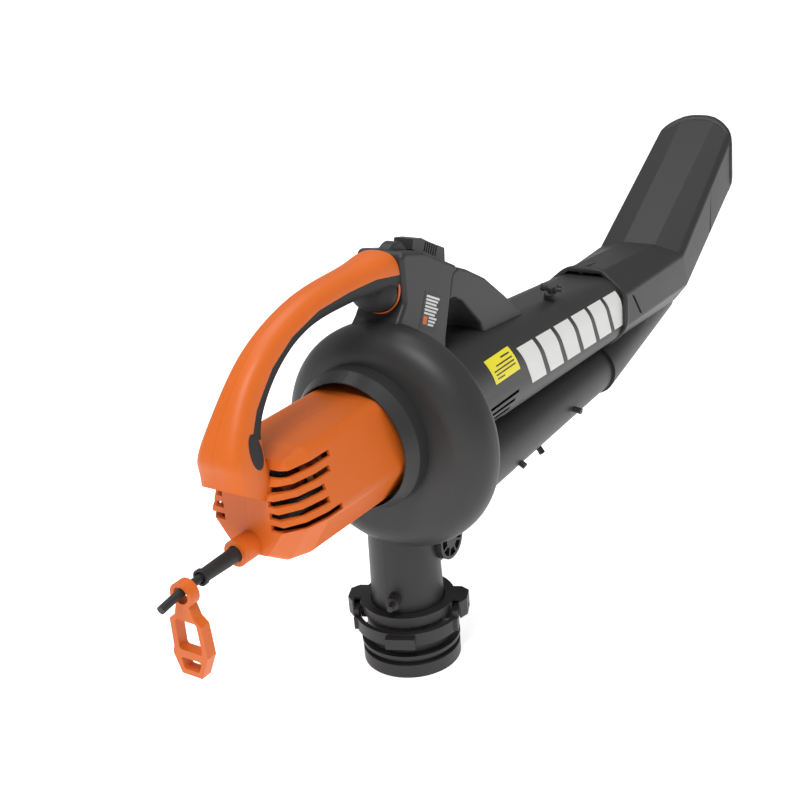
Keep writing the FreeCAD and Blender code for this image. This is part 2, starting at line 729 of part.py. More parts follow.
def make_front_handle():
    half = 21
    handle = side_rounded(padded_outline(front_handle_outline, half, 0, 9), half, 3)
    handle = handle.cut(padded_outline(front_handle_outline, half, size("shell_wall")))
    handle = handle.cut(padded_outline(tower_outline, 40, 0, 6))
    handle = handle.cut(suction_outer(0.3))
    biggest = max(handle.Solids, key=lambda solid: solid.Volume)
    formed("front_handle", biggest)


# ---- tubes and nozzle ----------------------------------------------------------------

def tube_centre(x):
    return -(x - 60) * math.tan(math.radians(size("tube_tilt")))


def oval(x, centre_z, half_width, half_height, corner):
    points = [V(x, -half_width, centre_z - half_height), V(x, half_width, centre_z - half_height),
              V(x, half_width, centre_z + half_height), V(x, -half_width, centre_z + half_height)]
    return rounded(points, corner)


def suction_outer(extra):
    start, end = size("tube_start"), size("tube_end")
    radius = size("tube_radius") + extra
    far_width, far_height = size("tube_end_half_width"), size("tube_end_half_height")
    far_height += extra
    far_width += extra
    near = oval(start, tube_centre(start), radius, radius, radius * 0.98)
    far = oval(end, tube_centre(end), far_width, far_height, 24)
    return loft([near, far])


def make_suction_tube():
    tube = suction_outer(0).cut(suction_outer(-size("tube_wall")))
    slot_count, slot_pitch = 5, 7
    for index in range(slot_count):
        low = -20 - index * slot_pitch
        for side in (-1, 1):
            slot = box((104, 20, low), (176 - index * 5, 60, low + 3.4))
            if side < 0:
                slot = slot.mirror(V(0, 0, 0), Y_AXIS)
            tube = tube.cut(slot)
    formed("suction_tube", tube)


def make_blow_tube():
    start, end = size("blow_start"), size("blow_end")
    near, far = size("blow_radius"), size("blow_end_radius")
    wall = size("tube_wall")
    low, high = size("blow_start_z"), size("blow_end_z")
    tube = cone(near, far, (start, 0, low), (end, 0, high))
    pegs = [(150, -30, 0.62), (205, -30, 0.35), (262, -30, 0.62), (318, -30, 0.1)]
    for x, _tilt, drop in pegs:
        angle = math.radians(-90 * drop)
        away = V(0, -math.cos(angle), math.sin(angle))
        centre = V(x, 0, low)
        tube = tube.fuse(rod(3.2, centre + away * (near - 8), centre + away * (near + 3)))
    tube = tube.cut(cone(near - wall, far - wall, (start - 1, 0, low), (end + 1, 0, high)))
    formed("blow_tube", tube.removeSplitter())


# Nozzle stations: top point, bottom point (x, z), then the half outline as
# (half width, fraction of the way down) from the top edge to the bottom edge.
nozzle_stations = [
    ((412, 25), (412, -57), [(20, 0), (47, 0.28), (47, 0.74), (26, 1)]),
    ((556, 16), (592, -62), [(19, 0), (52, 0.12), (50, 0.66), (28, 1)]),
    ((768, 141), (800, 53), [(20, 0), (46, 0.05), (44, 0.72), (28, 1)]),
]


def nozzle_wire(station, depth):
    (tx, tz), (bx, bz), half = station
    top, down = V(tx, 0, tz), V(bx - tx, 0, bz - tz)
    height = down.Length
    down.normalize()
    outline = both_sides([(y, -part * height) for y, part in half])
    if depth:
        outline = inset(outline, depth)
    return rounded([top + down * (-z) + V(0, y, 0) for y, z in outline], max(8 - depth, 3))


def nozzle_body(depth):
    wires = [nozzle_wire(station, depth) for station in nozzle_stations]
    body = loft(wires)
    if depth:
        for index, along in ((0, -1), (-1, 1)):
            face_wire = wires[index]
            face = Part.Face(face_wire)
            normal = face.normalAt(0, 0)
            outward = normal if normal.x * along > 0 else normal * -1
            body = body.fuse(face.extrude(outward * 6))
    return body


def nozzle_reach():
    """Everything behind the mouth, which is curved across and leans forward downwards."""
    centre_x, centre_z, curve, lean = 684, 130, 62, 0.12
    above, below = 60, 240
    top = V(centre_x - lean * above, 0, centre_z + above)
    foot = V(centre_x + lean * below, 0, centre_z - below)
    rounded_front = Part.makeCylinder(curve, (foot - top).Length, top, foot - top)
    return rounded_front.fuse(box((300, -100, -200), (centre_x - 30, 100, 300)))


def nozzle_spout(depth):
    """The lower sleeve, which carries the blow tube's air into the nozzle."""
    start = (size("blow_end") - 8, 0, size("blow_end_z"))
    if depth:
        start = (start[0] - 1, 0, start[2])
    return cone(size("blow_end_radius") + 3.2 - depth, 22 - depth, start, (606, 0, -62))


def make_nozzle():
    wall = 2.8
    shell = nozzle_body(0).common(nozzle_reach()).fuse(nozzle_spout(0))
    shell = shell.cut(nozzle_body(wall)).cut(nozzle_spout(wall))
    shell = shell.cut(suction_outer(0.2))
    end_z = size("blow_end_z")
    sleeve = cone(size("blow_radius") + 0.2, size("blow_end_radius") + 0.2,
                  (size("blow_start"), 0, size("blow_start_z")), (size("blow_end"), 0, end_z))
    shell = shell.cut(sleeve)
    biggest = max(shell.Solids, key=lambda solid: solid.Volume)
    formed("nozzle", biggest)


def make_bag_hooks():
    """Two-step studs that the collection bag's straps clip on to."""
    rise = V(-0.42, -0.3, 0.86).normalize()
    base = V(300, -17, tube_centre(300) + 39.5)
    stud = rod(6, base, base + rise * 13).fuse(rod(2.6, base, base + rise * 20))
    formed("tube_bag_hook", stud.cut(suction_outer(0.05)).removeSplitter())
    axis = size("neck_axis_x")
    low = -158
    foot = V(axis - 26, -6, low)
    out = V(-0.94, -0.34, 0)
    stud = rod(6, foot, foot + out * 16).fuse(rod(2.8, foot, foot + out * 24))
    formed("neck_bag_hook", stud.cut(neck(-0.05)).removeSplitter())


# ---- outlet, selector and latch ------------------------------------------------------

def make_selector():
    shaft_x, shaft_z = size("selector_x"), size("selector_z")
    radius, half = size("gate_radius"), size("gate_half_width")
    shaft = size("selector_shaft_radius")
    gate = Part.makeCylinder(radius, 2 * half, V(shaft_x, -half, shaft_z), Y_AXIS)
    gate = gate.cut(Part.makeCylinder(radius - 2.5, 2 * half - 6,
                                      V(shaft_x, -half + 3, shaft_z), Y_AXIS))
    wedge_angle = 104
    wedge = Part.makeCylinder(radius + 5, 2 * half + 4, V(shaft_x, -half - 2, shaft_z), Y_AXIS,
                              wedge_angle)
    wedge.rotate(V(shaft_x, 0, shaft_z), Y_AXIS, gate_rest_angle)
    gate = gate.common(wedge)
    for side in (-1, 1):
        hub = Part.makeCylinder(shaft + 4, 3, V(shaft_x, -half if side < 0 else half - 3, shaft_z),
                                Y_AXIS)
        gate = gate.fuse(hub)
    bore = rod(shaft, (shaft_x, -50, shaft_z), (shaft_x, 50, shaft_z))
    formed("selector_gate", gate.cut(bore).removeSplitter())
    turned_y("selector_shaft", [
        ("0", "-gate_half_width - 14"), ("selector_shaft_radius", "-gate_half_width - 14"),
        ("selector_shaft_radius", "gate_half_width + 6"), ("0", "gate_half_width + 6")],
        ("selector_x", "0", "selector_z"))
    knob = Part.makeCylinder(size("knob_radius"), size("knob_depth"),
                             V(shaft_x, -half - 16, shaft_z), Y_AXIS)
    ring = Part.makeCylinder(size("knob_radius") - 3, 7, V(shaft_x, -half - 17, shaft_z), Y_AXIS)
    ring = ring.cut(Part.makeCylinder(8, 9, V(shaft_x, -half - 18, shaft_z), Y_AXIS))
    rib_count = 8
    for index in range(rib_count):
        rib = box((shaft_x - 1, -half - 18, shaft_z), (shaft_x + 1, -half - 8, shaft_z + 30))
        rib.rotate(V(shaft_x, 0, shaft_z), Y_AXIS, 22.5 + index * 360 / rib_count)
        ring = ring.cut(rib)
    knob = knob.cut(ring).cut(rod(shaft, (shaft_x, -half - 14, shaft_z), (shaft_x, 0, shaft_z)))
    formed("selector_knob", knob.removeSplitter())


gate_rest_angle = 38


def make_outlet():
    """The bag collar is built square on and then turned about the neck."""
    axis = size("neck_axis_x")
    bore = size("collar_bore")
    flange_z, rim_z = size("flange_z"), size("rim_z")
    points = [(bore, -172), (42, -172), (42, -181), (38.5, -184), (38.5, flange_z + 3),
              (size("flange_radius"), flange_z + 2.5), (size("flange_radius"), flange_z - 1),
              (40, flange_z - 3), (40, flange_z - 6), (size("rim_radius"), flange_z - 7),
              (size("rim_radius"), rim_z), (38, rim_z), (bore + 1, flange_z), (bore, -190)]
    wire = Part.makePolygon([V(r, 0, z) for r, z in points + points[:1]])
    collar = Part.Face(wire).revolve(V(0, 0, 0), Z_AXIS, 360)
    for side in (-1, 1):
        outline = [(-15, 30), (-13, 49), (-6, 54), (9, 54), (15, 47), (15, 30)]
        block = Part.Face(Part.makePolygon([V(x, y, -188) for x, y in outline + outline[:1]]))
        block = block.extrude(V(0, 0, 16))
        if side < 0:
            block = block.mirror(V(0, 0, 0), Y_AXIS)
        collar = collar.fuse(block)
        slot = box((-7.2, 41.5, -190), (7.2, 47.5, -174.5))
        slot = slot.fuse(box((-20, 41.5, -190), (-6.5, 47.5, -170)))
        if side < 0:
            slot = slot.mirror(V(0, 0, 0), Y_AXIS)
        collar = collar.cut(slot)
    collar = collar.cut(Part.makeCylinder(bore, 60, V(0, 0, -200)))
    pin_radius = 2
    collar = collar.cut(rod(pin_radius, (0, 38.6, latch_z), (0, 60, latch_z)))
    collar = collar.cut(rod(pin_radius, (0, -60, latch_z), (0, -38.6, latch_z)))
    collar = collar.cut(rod(4, (0, 39.4, latch_z), (0, 41.6, latch_z)))
    biggest = max(collar.Solids, key=lambda solid: solid.Volume)

    pins = [rod(pin_radius, (0, 39, latch_z), (0, 53, latch_z)),
            rod(pin_radius, (0, -53, latch_z), (0, -39, latch_z))]
    lever = make_latch_lever(pin_radius)
    spring = latch_spring()
    seal = Part.makeTorus(size("neck_low_radius") - 0.4, 1.2, V(0, 0, -189))
    seal = seal.common(Part.makeCylinder(bore, 20, V(0, 0, -200)))
    seal = seal.cut(Part.makeCylinder(size("neck_low_radius") - 1.2, 30, V(0, 0, -200)))
    for label, shape in (("outlet_collar", biggest), ("latch_pins", Part.makeCompound(pins)),
                         ("collar_latch", lever), ("latch_spring", spring),
                         ("collar_seal", seal)):
        shape.rotate(V(0, 0, 0), Z_AXIS, size("collar_turn"))
        shape.translate(V(axis, 0, 0))
        formed(label, shape)


latch_z = -181.5


def make_latch_lever(pin_radius):
    """A half-round bail on the rear side with an ear on each pin."""
    bail = Part.makeCylinder(49, 12, V(0, 0, -196)).cut(Part.makeCylinder(44.5, 14, V(0, 0, -197)))
    bail = bail.common(box((-60, -60, -210), (-14, 60, -170)))
    for side in (-1, 1):
        ear = box((-19, 42.2, -188), (0, 46.8, -177.5))
        ear = ear.fuse(rod(4.8, (0, 42.2, latch_z), (0, 46.8, latch_z)))
        ear = ear.fuse(box((-22, 42.2, -196), (-12, 46.8, -184)))
        if side < 0:
            ear = ear.mirror(V(0, 0, 0), Y_AXIS)
        bail = bail.fuse(ear)
    tab = box((-54, -13, -196), (-46, 13, -186)).cut(Part.makeCylinder(44.5, 30, V(0, 0, -205)))
    bail = bail.fuse(tab)
    bail = bail.cut(rod(pin_radius + 0.05, (0, -60, latch_z), (0, 60, latch_z)))
    return bail.removeSplitter()


def latch_spring():
    """A wire torsion spring round the left pin."""
    coil = Part.makeTorus(3.1, 0.5, V(0, 0, 0), Y_AXIS)
    parts = coil.copy()
    parts.translate(V(0, 40.2, latch_z))
    second = coil.copy()
    second.translate(V(0, 41.0, latch_z))
    return parts.fuse(second)


# ---- cord ----------------------------------------------------------------------------

def make_cord():
    cord_z = size("cord_z")
    turned_x("cord_sleeve", [
        ("boss_end + 21", "cord_radius"), ("boss_end + 21", "cord_radius + 3.3"),
        ("sleeve_end + 3", "cord_radius + 2"), ("sleeve_end + 3", "cord_radius + 3.2"),
        ("sleeve_end", "cord_radius + 3.2"), ("sleeve_end", "cord_radius + 1.6"),
        ("sleeve_end + 2", "cord_radius")], ("0", "0", "cord_z"))
    start, end = size("sleeve_end"), size("cord_end")
    inner = size("boss_end + 26")
    route = [V(inner, 0, cord_z), V(start + 6, 0, cord_z), V(start - 14, 0, cord_z - 0.5),
             V(start - 28, 0, cord_z - 1.8), V(end, 0, cord_z - 4)]
    radius = size("cord_radius")
    inside = rod(radius, (inner, 0, cord_z), (start, 0, cord_z))
    formed("cord_lead_in", inside)
    outer_route = [V(start, 0, cord_z)] + route[2:]
    cord, length, radii = tube_along(outer_route, radius)
    formed("power_cord", cord)
    print("cord length", round(length, 2), "radii", [round(r, 1) for r in radii],
          "volume ratio", round(cord.Volume / (math.pi * radius ** 2 * length), 4))
    clamp = box((-147, -13, cord_z + 1.2), (-139, 13, cord_z + 7))
    clamp = clamp.cut(rod(radius, (-150, 0, cord_z), (-130, 0, cord_z)))
    screws = []
    for side in (-1, 1):
        y = side * 9.5
        clamp = clamp.cut(rod(1.7, (-143, y, cord_z - 5), (-143, y, cord_z + 9)))
        screws.append(rod(1.7, (-143, y, cord_z - 5), (-143, y, cord_z + 7)).fuse(
            rod(3, (-143, y, cord_z + 7), (-143, y, cord_z + 9))))
    formed("cord_clamp", clamp)
    formed("cord_clamp_screws", Part.makeCompound(screws))


def make_retainer():
    """The hook that keeps an extension lead from pulling out, hung on the cord."""
    x = size("retainer_x")
    top = size("cord_z")
    half = 4.5
    ring_outer, ring_inner = 10, 6.6
    outline = [(-6, -8), (6, -8), (9, -17), (14.5, -21), (14.5, -44), (16.5, -50),
               (10.5, -66), (-8.5, -66), (-17, -47), (-15, -22), (-9, -17)]
    centre_z = top - (ring_inner - size("cord_radius")) + 0.1
    plate = Part.Face(Part.makePolygon([V(x - half, y, centre_z + z)
                                        for y, z in outline + outline[:1]]))
    plate = plate.extrude(V(2 * half, 0, 0))
    plate = plate.fuse(rod(ring_outer, (x - half, 0, centre_z), (x + half, 0, centre_z)))
    windows = [[(-10.5, -20.5), (9.5, -20.5), (9.5, -45.5), (-12.5, -45.5)],
               [(-10.5, -52), (9.5, -52), (7.5, -61.5), (-6.5, -61.5)]]
    for window in windows:
        wire = rounded([V(x - half - 1, y, centre_z + z) for y, z in window], 2.2)
        plate = plate.cut(Part.Face(wire).extrude(V(2 * half + 2, 0, 0)))
    plate = plate.cut(rod(ring_inner, (x - 10, 0, centre_z), (x + 10, 0, centre_z)))
    formed("cord_retainer", plate.removeSplitter())


# ---- build, check and write ----------------------------------------------------------

def drill_bulkhead():
    """Clearance holes for the four screws, as pockets in the bulkhead's own body."""
    body = doc.getObject("motor_bulkhead")
    doc.recompute()
    before = body.Shape.Volume
    sketch = body.newObject("Sketcher::SketchObject", "bulkhead_holes")
    plane = [f for f in body.Origin.OriginFeatures if f.Role == "YZ_Plane"][0]
    sketch.AttachmentSupport = [(plane, "")]
    sketch.MapMode = "FlatFace"
    for y, z in bulkhead_screws:
        sketch.addGeometry(Part.Circle(V(y, z, 0), Z_AXIS, 2.05), False)
    pocket = body.newObject("PartDesign::Pocket", "bulkhead_drilled")
    pocket.Profile = sketch
    pocket.Length = 40
    pocket.Midplane = True
    doc.recompute()
    if body.Shape.Volume >= before:
        raise RuntimeError("the bulkhead holes cut nothing")


def build():
    make_rotor()
    make_motor_frame()
    make_brush_gear()
    make_motor_housing()
    make_bulkhead_screws()
    drill_bulkhead()
    make_fan_housing()
    make_control_tower()
    make_power_slider()
    make_controls()
    make_handle()
    make_front_handle()
    make_suction_tube()
    make_blow_tube()
    make_nozzle()
    make_bag_hooks()
    make_selector()
    make_outlet()
    make_cord()
    make_retainer()
    doc.recompute()


def write():
    for obj in doc.Objects:
        if {"Invalid", "Error"} & set(obj.State):
            raise RuntimeError(f"{obj.Label} did not compute")
    os.makedirs("parts", exist_ok=True)
    for piece in pieces:
        shape = piece.Shape
        if shape.isNull() or not shape.isValid() or not shape.Solids:
            raise RuntimeError(f"{piece.Label} has no valid solid")
        shape.exportStep(f"parts/{piece.Label}.step")
    print(len(pieces), "sub-parts written")


build()
write()
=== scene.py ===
import math

import bmesh
import bpy
from mathutils import Matrix, Vector
from mathutils.bvhtree import BVHTree


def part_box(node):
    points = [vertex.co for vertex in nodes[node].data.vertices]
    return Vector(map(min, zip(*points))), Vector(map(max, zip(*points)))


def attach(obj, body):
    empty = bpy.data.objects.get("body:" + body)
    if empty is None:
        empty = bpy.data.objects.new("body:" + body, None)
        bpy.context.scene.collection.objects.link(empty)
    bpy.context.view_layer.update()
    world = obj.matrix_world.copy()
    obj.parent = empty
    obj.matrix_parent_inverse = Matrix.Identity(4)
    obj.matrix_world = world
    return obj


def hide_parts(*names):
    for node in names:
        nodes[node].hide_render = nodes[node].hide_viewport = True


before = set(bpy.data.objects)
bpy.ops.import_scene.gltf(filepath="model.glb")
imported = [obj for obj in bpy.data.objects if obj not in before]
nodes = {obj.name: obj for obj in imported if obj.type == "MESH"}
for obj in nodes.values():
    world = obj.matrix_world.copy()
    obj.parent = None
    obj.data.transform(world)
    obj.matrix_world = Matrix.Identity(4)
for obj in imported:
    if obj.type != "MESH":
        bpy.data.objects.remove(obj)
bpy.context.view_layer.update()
print("frame loaded", len(nodes), "nodes")

# Lengths below are millimetres from the point where the fan shaft meets the rear of the
# fan housing: x forward, y left, z up. The grip centre, the object's origin, is moved by this.
originShift = Vector((75, 0, -127))


def place(x, y, z):
    return (Vector((x, y, z)) + originShift) / 1000


# One output socket of a node tree. Sums on wires add Math nodes.
class Wire:
    def __init__(self, tree, socket=None):
        self.tree = tree
        self.socket = socket

    def node(self, kind, settings=None, inputs=None, output=0):
        made = self.tree.nodes.new(kind)
        for name, value in (settings or {}).items():
            setattr(made, name, value)
        for name, value in (inputs or {}).items():
            if isinstance(value, Wire):
                self.tree.links.new(value.socket, made.inputs[name])
            else:
                made.inputs[name].default_value = value
        return Wire(self.tree, made.outputs[output] if made.outputs else None)

    def math(self, operation, first, second=0.0):
        return self.node("ShaderNodeMath", {"operation": operation}, {0: first, 1: second})

    def __add__(self, other):
        return self.math("ADD", self, other)

    def __radd__(self, other):
        return self.math("ADD", other, self)

    def __mul__(self, other):
        return self.math("MULTIPLY", self, other)

    def __rmul__(self, other):
        return self.math("MULTIPLY", other, self)


def shaded(colour, factor):
    return tuple(level * factor for level in colour) + (1.0,)


# A moulded or metal finish with a fine grain and a slow change of shade and polish.
def surface(name, colour, roughness, metallic=0.0, gloss=0.3, grain=0.0, grainScale=900.0,
            mottle=0.06, patchScale=18.0):
    material = bpy.data.materials.new(name)
    material.use_nodes = True
    tree = material.node_tree
    tree.nodes.clear()
    start = Wire(tree)
    point = start.node("ShaderNodeTexCoord", output=3)
    slow = start.node("ShaderNodeTexNoise", {}, {
        "Vector": point, "Scale": patchScale, "Detail": 3.0, "Roughness": 0.55})
    fine = start.node("ShaderNodeTexNoise", {}, {
        "Vector": point, "Scale": grainScale, "Detail": 2.0, "Roughness": 0.5})
    tone = start.node("ShaderNodeMix", {"data_type": "RGBA"}, {
        0: slow, 6: shaded(colour, 1 - mottle), 7: shaded(colour, 1 + mottle)}, output=2)
    slowShare, fineShare = 0.08, 0.04
    polish = slow * slowShare + fine * fineShare + (roughness - (slowShare + fineShare) / 2)
    inputs = {"Base Color": tone, "Roughness": polish, "Metallic": metallic,
              "Specular IOR Level": gloss}
    if grain:
        inputs["Normal"] = start.node("ShaderNodeBump", {}, {
            "Strength": grain, "Distance": 0.0002, "Height": fine})
    shader = start.node("ShaderNodeBsdfPrincipled", {}, inputs)
    start.node("ShaderNodeOutputMaterial", {}, {"Surface": shader})
    return material


orangePlastic = surface("orangePlastic", (0.60, 0.121, 0.014), 0.42, gloss=0.28, grain=0.10)
charcoalPlastic = surface("charcoalPlastic", (0.027, 0.027, 0.0275), 0.44, grain=0.22)
softGrip = surface("softGrip", (0.019, 0.019, 0.020), 0.62, grain=0.35, grainScale=1400)
innerPlastic = surface("innerPlastic", (0.030, 0.030, 0.032), 0.6, grain=0.1)
steel = surface("steel", (0.56, 0.56, 0.57), 0.32, metallic=1.0, gloss=0.5, grain=0.05)
copper = surface("copper", (0.72, 0.30, 0.13), 0.38, metallic=1.0, gloss=0.5, grain=0.2)
carbonBlock = surface("carbonBlock", (0.025, 0.025, 0.027), 0.6, grain=0.2)
castAluminium = surface("castAluminium", (0.62, 0.63, 0.64), 0.48, metallic=1.0, gloss=0.5,
                        grain=0.3)
cordRubber = surface("cordRubber", (0.020, 0.020, 0.021), 0.55, grain=0.2)
paleInk = surface("paleInk", (0.66, 0.66, 0.65), 0.5, mottle=0.02)
yellowLabel = surface("yellowLabel", (0.78, 0.68, 0.03), 0.45, mottle=0.02)
darkInk = surface("darkInk", (0.03, 0.03, 0.03), 0.5)
# Near-black, used as painted shade where a recess is only drawn on a surface.
deepShade = surface("deepShade", (0.006, 0.006, 0.006), 0.8, gloss=0.1)
slotFinish = {
    "orange_plastic": orangePlastic, "charcoal_plastic": charcoalPlastic,
    "soft_grip": softGrip, "inner_plastic": innerPlastic, "steel": steel,
    "copper": copper, "carbon": carbonBlock, "cast_aluminium": castAluminium,
    "cord_rubber": cordRubber,
}
print("materials made")

for node in nodes.values():
    for materialSlot in node.material_slots:
        materialSlot.material = slotFinish[materialSlot.material.name.split(".")[0]]
    for polygon in node.data.polygons:
        polygon.use_smooth = True


# Turns a bmesh into an object that moves with a body.
def finishPiece(name, mesh, material, body="main_body", smooth=False):
    bmesh.ops.recalc_face_normals(mesh, faces=mesh.faces)
    data = bpy.data.meshes.new(name)
    mesh.to_mesh(data)
    mesh.free()
    data.materials.append(material)
    for polygon in data.polygons:
        polygon.use_smooth = smooth
    piece = bpy.data.objects.new(name, data)
    bpy.context.scene.collection.objects.link(piece)
    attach(piece, body)
    return piece


# The outsides of some nodes, for laying sheets on.
def surfaceTree(*nodeNames):
    joined = bmesh.new()
    for nodeName in nodeNames:
        joined.from_mesh(nodes[nodeName].data)
    tree = BVHTree.FromBMesh(joined)
    joined.free()
    return tree


# A thin sheet between four corner points, let down onto a surface along one direction.
def patch(mesh, tree, corners, direction, rise, across=10, along=4, sunk=0.0004, oval=False):
    a, b, c, d = [place(*corner) for corner in corners]
    sheet = bmesh.ops.create_grid(mesh, x_segments=across, y_segments=along, size=0.5)["verts"]
    for vertex in sheet:
        x, y = vertex.co.x * 2, vertex.co.y * 2
        if oval:
            x, y = x * math.sqrt(1 - y * y / 2), y * math.sqrt(1 - x * x / 2)
        u, v = (x + 1) / 2, (y + 1) / 2
        target = (a * (1 - u) + b * u) * (1 - v) + (d * (1 - u) + c * u) * v
        hit, normal, _face, _distance = tree.ray_cast(target - direction * 0.15, direction)
        if hit is None:
            raise RuntimeError(f"nothing under {tuple(target)}")
        vertex.co = hit + normal * (rise if normal.dot(direction) < 0 else -rise)
    faces = list({face for vertex in sheet for face in vertex.link_faces})
    bmesh.ops.recalc_face_normals(mesh, faces=faces)
    towards = 1 if faces[0].normal.dot(direction) < 0 else -1
    bmesh.ops.solidify(mesh, geom=faces, thickness=towards * (rise + sunk))


# A closed ring of skin through closed loops of points, the last joined to the first.
def ringThrough(mesh, loops):
    rings = []
    for loop in loops:
        circle = bmesh.ops.create_circle(mesh, segments=len(loop), radius=1)["verts"]
        for vertex, point in zip(circle, loop):
            vertex.co = point
        rings.append(list({edge for vertex in circle for edge in vertex.link_edges}))
    for ring, following in zip(rings, rings[1:] + rings[:1]):
        bmesh.ops.bridge_loops(mesh, edges=ring + following)


toLeft = Vector((0, 1, 0))

tubeTree = surfaceTree("suction_tube")
notice = {"corners": [(126, 0, 26), (172, 0, 25), (179, 0, 2), (133, 0, 3)], "rise": 0.0003,
          "barRise": 0.00042, "barDepth": 1.2, "barFall": 0.6, "barSlant": 0.5}
labelMesh = bmesh.new()
patch(labelMesh, tubeTree, notice["corners"], toLeft, notice["rise"], across=12, along=8)
finishPiece("tube_notice", labelMesh, yellowLabel)
barMesh = bmesh.new()
noticeBars = [(152, 168, 22), (140, 170, 18), (134, 171, 14.5), (136, 172, 11), (137, 150, 7.5)]
for left, right, height in noticeBars:
    fall, slant, foot = notice["barFall"], notice["barSlant"], height - notice["barDepth"]
    patch(barMesh, tubeTree, [(left, 0, height), (right, 0, height - fall),
                              (right + slant, 0, foot - fall), (left + slant, 0, foot)],
          toLeft, notice["barRise"], across=6, along=1)
finishPiece("tube_notice_bars", barMesh, darkInk)

bandMesh = bmesh.new()
band = {"start": 183, "pitch": 38, "width": 31, "count": 6, "slant": 20, "top": 19.5,
        "height": 40.5, "fall": 0.053, "narrowing": 2, "rise": 0.00025}
for index in range(band["count"]):
    left = band["start"] + index * band["pitch"]
    right = left + band["width"]
    topLeft = band["top"] - (left - band["start"]) * band["fall"]
    topRight = band["top"] - (right - band["start"]) * band["fall"]
    slant, height = band["slant"], band["height"]
    patch(bandMesh, tubeTree, [(left, 0, topLeft), (right, 0, topRight),
                               (right + slant - band["narrowing"], 0, topRight - height),
                               (left + slant, 0, topLeft - height)], toLeft, band["rise"],
          across=8, along=12)
finishPiece("tube_band", bandMesh, paleInk)

towerTree = surfaceTree("control_tower_right")


# A place on the tilted rating label, u across and v down, both 0 to 1.
def onLabel(u, v):
    corner, across, down = Vector((71.6, 104.5)), Vector((22.3, -11.0)), Vector((-12.3, -26.5))
    spot = corner + across * u + down * v
    return (spot.x, 0, spot.y)


def labelPatch(mesh, u0, v0, u1, v1, rise):
    patch(mesh, towerTree, [onLabel(u0, v0), onLabel(u1, v0), onLabel(u1, v1), onLabel(u0, v1)],
          toLeft, rise, across=2, along=2)


frameMesh = bmesh.new()
labelPatch(frameMesh, -0.06, -0.05, 1.06, 1.05, 0.0002)
finishPiece("rating_frame", frameMesh, darkInk)
ratingMesh = bmesh.new()
for row in range(9):
    top = 0.06 + row * 0.098
    start = 0.42 if row > 5 else 0.08
    end = 0.92 - 0.07 * (row % 3)
    labelPatch(ratingMesh, start, top, end, top + 0.06, 0.0003)
finishPiece("rating_bars", ratingMesh, paleInk)
sparkMesh = bmesh.new()
labelPatch(sparkMesh, 0.08, 0.66, 0.34, 0.9, 0.0003)
finishPiece("rating_patch", sparkMesh, orangePlastic)
print("labels made")

bendSection = {"top": (556, 16), "foot": (592, -62),
               "half": [(19, 0), (52, 0.12), (50, 0.66), (28, 1)]}
farSection = {"top": (768, 141), "foot": (800, 53),
              "half": [(20, 0), (46, 0.05), (44, 0.72), (28, 1)]}
mouthCut = {"x": 684, "z": 130, "curve": 62, "lean": 0.12}


def sectionPoint(section, corner, side):
    width, part = section["half"][corner]
    top, foot = section["top"], section["foot"]
    return Vector((top[0] + (foot[0] - top[0]) * part, side * width,
                   top[1] + (foot[1] - top[1]) * part))


def ringCorners(section):
    left = [sectionPoint(section, corner, 1) for corner in range(4)]
    right = [sectionPoint(section, corner, -1) for corner in (3, 2, 1, 0)]
    return left + right


# Points round a closed outline with its corners rounded.
def roundedLoop(corners, radius, steps):
    points = []
    count = len(corners)
    for index, corner in enumerate(corners):
        before = corners[index - 1] - corner
        after = corners[(index + 1) % count] - corner
        reachBefore = min(radius, before.length * 0.45)
        reachAfter = min(radius, after.length * 0.45)
        start = corner + before.normalized() * reachBefore
        end = corner + after.normalized() * reachAfter
        for step in range(steps + 1):
            t = step / steps
            points.append(start * (1 - t) ** 2 + corner * 2 * t * (1 - t) + end * t ** 2)
    return points


# Where a line along the nozzle meets the mouth, or a distance behind it.
def towardMouth(near, far, back):
    low, high = 0.0, 1.2
    for _step in range(40):
        middle = (low + high) / 2
        spot = near.lerp(far, middle)
        across = max(mouthCut["curve"] ** 2 - spot.y ** 2, 0)
        limit = mouthCut["x"] + math.sqrt(across) + mouthCut["lean"] * (mouthCut["z"] - spot.z)
        if spot.x < limit:
            low = middle
        else:
            high = middle
    spot = near.lerp(far, low)
    return spot - (far - near).normalized() * back


# The loop moved outwards from its own middle.
def grown(loop, amount):
    middle = sum(loop, Vector()) / len(loop)
    return [point + (point - middle).normalized() * amount for point in loop]


def placed(loop):
    return [place(*point) for point in loop]


nearLoop = roundedLoop(ringCorners(bendSection), 12, 5)
farLoop = roundedLoop(ringCorners(farSection), 12, 5)
lip = {"length": 9, "proud": 1.3, "sunk": 2.0}
mouthLoop = [towardMouth(near, far, 0.4) for near, far in zip(nearLoop, farLoop)]
backLoop = [towardMouth(near, far, lip["length"]) for near, far in zip(nearLoop, farLoop)]
lipMesh = bmesh.new()
ringThrough(lipMesh, [placed(loop) for loop in (
    grown(mouthLoop, -lip["sunk"]), grown(mouthLoop, lip["proud"] - 0.5),
    grown([point.lerp(other, 0.12) for point, other in zip(mouthLoop, backLoop)], lip["proud"]),
    grown([point.lerp(other, 0.88) for point, other in zip(mouthLoop, backLoop)], lip["proud"]),
    grown(backLoop, -0.2), grown(backLoop, -lip["sunk"]))])
finishPiece("nozzle_lip", lipMesh, charcoalPlastic, smooth=True)

